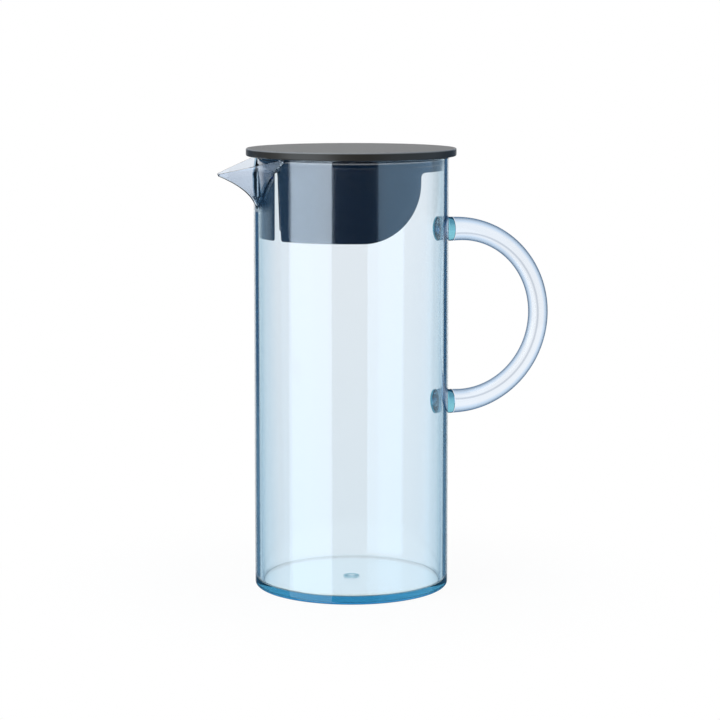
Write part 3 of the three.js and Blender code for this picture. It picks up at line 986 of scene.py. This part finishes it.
class JUG_OT_lid_skirt(Operator):
    """Models the glossy skirt with its pouring cut-out, slots and grooves"""
    bl_idname = "jug.lid_skirt"
    bl_label = "Lid skirt"

    def execute(self, context):
        scene = context.scene
        size, lid = scene.jug_body, scene.jug_lid
        outer = lid.skirt_radius
        inner = outer - lid.skirt_wall
        edge = lid.edge_round
        foot = lid.skirt_foot
        top = SKIRT_HIGH.z
        groove = outer - lid.groove
        seal_low = SEAL_LOW.z - lid.play
        seal_high = SEAL_HIGH.z + lid.play
        bead = lid.cap_top - lid.cap_edge - lid.spigot_depth + 2 * lid.snap
        low, high = (outer, foot + 2 * edge), (outer, seal_low - 1.2 * STRIP)
        profile = [
            (inner + edge, foot),
            (outer - edge, foot),
            (outer - edge * 0.3, foot + edge * 0.3),
            (outer, foot + edge),
            low,
            *rungs(low, high, 6),
            high,
            (outer, seal_low),
            (groove, seal_low),
            (groove, seal_high),
            (outer, seal_high),
            (outer, top - edge),
            (outer - edge, top),
            (inner, top),
            (inner, bead + 1.5 * lid.snap),
            (inner + lid.snap, bead),
            (inner, bead - 1.5 * lid.snap),
            (inner, bead - 2.6 * lid.snap),
            (inner, foot + 2 * edge),
            (inner, foot + edge),
            (inner + edge * 0.3, foot + edge * 0.3),
            (inner + edge, foot),
        ]
        obj = turned("skirt", profile, size.segments, ring=True)
        carve(obj, pour_cutter(lid), "DIFFERENCE")
        carve(obj, slot_cutter(lid), "DIFFERENCE")
        only(obj)
        obj.rotation_euler = (0, 0, lid.turned)
        bpy.ops.object.transform_apply(location=False, rotation=True, scale=False)
        smooth(obj, 30)
        material = gloss_finish("gloss dark plastic", scene.jug_finishes.skirt, 0.13, 0.15)
        dress(obj, material, "lid_skirt", "lid")
        return {"FINISHED"}


class JUG_OT_seal_ring(Operator):
    """Models the soft seal ring in the skirt's collar"""
    bl_idname = "jug.seal_ring"
    bl_label = "Seal ring"

    def execute(self, context):
        scene = context.scene
        size, lid = scene.jug_body, scene.jug_lid
        inner = lid.skirt_radius - lid.groove + lid.play / 2
        outer = SEAL_HIGH.y
        low, high = SEAL_LOW.z, SEAL_HIGH.z
        edge = lid.edge_round
        profile = [
            (inner, low),
            (outer - 2 * edge, low),
            *rounded(outer - edge, low + edge, edge, -90, 0, 4),
            (outer, (low + high) / 2),
            *rounded(outer - edge, high - edge, edge, 0, 90, 4),
            (outer - 2 * edge, high),
            (inner, high),
            (inner, low),
        ]
        obj = turned("seal_band", profile, size.segments, ring=True)
        smooth(obj, 40)
        material = gloss_finish("seal rubber", scene.jug_finishes.seal, 0.05, 0.12)
        dress(obj, material, "lid_seal_ring", "seal")
        return {"FINISHED"}


def floor_finish(colour):
    """Pale floor: white to the eye, with the jug's shadow left on it."""
    material = bpy.data.materials.new("studio floor")
    material.use_nodes = True
    tree = material.node_tree
    shader = tree.nodes["Principled BSDF"]
    shader.inputs["Base Color"].default_value = (*colour, 1)
    shader.inputs["Roughness"].default_value = 0.7
    path = node(tree, "ShaderNodeLightPath", (-700, 300))
    seen = node(tree, "ShaderNodeMath", (-450, 300), operation="MULTIPLY")
    place = node(tree, "ShaderNodeTexCoord", (-950, 0))
    reach = node(tree, "ShaderNodeVectorMath", (-700, 0), operation="LENGTH")
    clear = node(tree, "ShaderNodeMapRange", (-450, 0), interpolation_type="SMOOTHSTEP")
    clear.inputs["From Min"].default_value = 0.06
    clear.inputs["From Max"].default_value = 0.2
    clear.inputs["To Min"].default_value = 0.94
    clear.inputs["To Max"].default_value = 1.0
    glow = node(tree, "ShaderNodeEmission", (-250, 100))
    glow.inputs["Color"].default_value = (1, 1, 1, 1)
    mix = node(tree, "ShaderNodeMixShader", (50, 300))
    link = tree.links.new
    link(path.outputs["Is Camera Ray"], seen.inputs[0])
    link(clear.outputs["Result"], seen.inputs[1])
    link(place.outputs["Object"], reach.inputs[0])
    link(reach.outputs["Value"], clear.inputs["Value"])
    link(seen.outputs["Value"], mix.inputs["Fac"])
    link(shader.outputs["BSDF"], mix.inputs[1])
    link(glow.outputs["Emission"], mix.inputs[2])
    link(mix.outputs["Shader"], tree.nodes["Material Output"].inputs["Surface"])
    return material


def studio_world(scene, azimuth):
    """White behind the jug, dim blue at its sides and towards the camera, plain white to the eye."""
    world = bpy.data.worlds.new("studio")
    scene.world = world
    world.use_nodes = True
    tree = world.node_tree
    backdrop = tree.nodes["Background"]
    place = node(tree, "ShaderNodeTexCoord", (-1200, 0))
    toward = node(tree, "ShaderNodeVectorMath", (-1000, 0), operation="DOT_PRODUCT")
    toward.inputs[1].default_value = (-math.sin(azimuth), math.cos(azimuth), 0)
    spread = node(tree, "ShaderNodeMapRange", (-1000, 200))
    spread.inputs["From Min"].default_value = -1.0
    round_jug = spread.outputs["Result"]
    front = (0.012, 0.035, 0.08)
    side = (0.05, 0.12, 0.22)
    glow = (0.4, 0.5, 0.6)
    white = (1, 1, 1)
    mirrored = ramp(tree, (-800, 0), round_jug, ((0.0, front), (0.6, side), (0.955, side), (0.98, white)))
    through = ramp(tree, (-800, -300), round_jug, (
        (0.075, front), (0.15, side), (0.65, side), (0.73, glow), (0.86, glow), (0.91, white)
    ))
    path = node(tree, "ShaderNodeLightPath", (-800, 400))
    bent = path.outputs["Is Transmission Ray"]
    plain = node(tree, "ShaderNodeMath", (-600, 500), operation="LESS_THAN")
    plain.inputs[1].default_value = 0.5
    axes = node(tree, "ShaderNodeSeparateXYZ", (-1000, 700))
    link = tree.links.new
    link(place.outputs["Generated"], axes.inputs["Vector"])
    link(place.outputs["Generated"], toward.inputs[0])
    link(toward.outputs["Value"], spread.inputs["Value"])
    link(path.outputs["Glossy Depth"], plain.inputs[0])
    straight = calc(tree, (-400, 500), "MULTIPLY", plain.outputs["Value"], bent)
    risen = graded(tree, (-800, 700), axes.outputs["Z"], 0.0, 0.04)
    raised = calc(tree, (-600, 700), "MULTIPLY", risen, bent)
    lit = calc(tree, (-400, 700), "MAXIMUM", straight, raised)
    white_out = calc(tree, (-200, 500), "MAXIMUM", lit, path.outputs["Is Camera Ray"])
    fill = mixed(tree, (-450, 0), path.outputs["Is Glossy Ray"], (0.5, 0.5, 0.5), mirrored)
    clear = mixed(tree, (-250, 0), bent, fill, through)
    link(mixed(tree, (-50, 0), white_out, clear, white), backdrop.inputs["Color"])


def round_about(azimuth, distance, height):
    """A place round the jug."""
    return (distance * math.sin(azimuth), -distance * math.cos(azimuth), height)


def softbox(name, stage, angle, width, power, colour):
    """A soft lamp that stands round the jug and faces it."""
    azimuth = stage.azimuth + angle
    away = round_about(azimuth, stage.lamp_distance, stage.lamp_height)
    bpy.ops.object.light_add(type="AREA", location=away, rotation=(math.pi / 2, 0, azimuth))
    lamp = bpy.context.object
    lamp.name = name
    lamp.data.shape = "RECTANGLE"
    lamp.data.size = width
    lamp.data.size_y = stage.lamp_tall
    lamp.data.energy = power
    lamp.data.color = colour


class JUG_OT_stage(Operator):
    """Sets the pale floor, the soft studio light and the camera"""
    bl_idname = "jug.stage"
    bl_label = "Stage"

    def execute(self, context):
        scene = context.scene
        stage = scene.jug_stage
        bpy.ops.object.select_all(action="DESELECT")
        below = (0, 0, -stage.floor_drop)
        bpy.ops.mesh.primitive_circle_add(vertices=96, radius=stage.floor_radius, fill_type="NGON", location=below)
        floor = begin("floor")
        bpy.ops.object.mode_set(mode="OBJECT")
        floor.data.materials.append(floor_finish(scene.jug_finishes.floor))
        floor.visible_glossy = False
        floor.visible_shadow = False
        floor.visible_transmission = False
        studio_world(scene, stage.azimuth)
        softbox("left_softbox", stage, stage.left_angle, stage.left_width, stage.left_power, stage.left_tint)
        softbox("right_softbox", stage, stage.right_angle, stage.right_width, stage.right_power, stage.right_tint)
        bpy.ops.object.light_add(type="AREA", location=(0, 0, stage.top_height))
        above = bpy.context.object
        above.name = "top_softbox"
        above.data.size = stage.top_width
        above.data.energy = stage.top_power
        where = round_about(stage.azimuth, stage.distance, stage.height)
        aim = (math.pi / 2 - stage.pitch, 0, stage.azimuth + stage.pan)
        bpy.ops.object.camera_add(location=where, rotation=aim)
        camera = bpy.context.object
        camera.data.sensor_width = 36
        camera.data.lens = stage.lens
        camera.data.shift_y = stage.shift
        scene.camera = camera
        scene.view_settings.view_transform = "Standard"
        return {"FINISHED"}


class JUG_PT_panel(Panel):
    """Lists the jug's pieces in the sidebar"""
    bl_idname = "JUG_PT_panel"
    bl_label = "Water jug"
    bl_space_type = "VIEW_3D"
    bl_region_type = "UI"
    bl_category = "Jug"

    def draw(self, context):
        for operator in OPERATORS:
            self.layout.operator(operator.bl_idname)


GROUPS = {
    "jug_body": JugBodySizes,
    "jug_spout": SpoutSizes,
    "jug_handle": HandleSizes,
    "jug_lid": LidSizes,
    "jug_finishes": Finishes,
    "jug_stage": StageSizes,
}
OPERATORS = (JUG_OT_stage, JUG_OT_body, JUG_OT_handle, JUG_OT_lid_cap, JUG_OT_lid_skirt, JUG_OT_seal_ring)


def register():
    for kind in (*GROUPS.values(), *OPERATORS, JUG_PT_panel):
        bpy.utils.register_class(kind)
    for name, kind in GROUPS.items():
        setattr(bpy.types.Scene, name, PointerProperty(type=kind))


def unregister():
    for name in GROUPS:
        delattr(bpy.types.Scene, name)
    for kind in (JUG_PT_panel, *OPERATORS, *GROUPS.values()):
        bpy.utils.unregister_class(kind)


def main():
    register()
    bpy.ops.jug.stage()
    bpy.ops.jug.body()
    bpy.ops.jug.handle()
    bpy.ops.jug.lid_cap()
    bpy.ops.jug.lid_skirt()
    bpy.ops.jug.seal_ring()


if __name__ == "__main__":
    main()
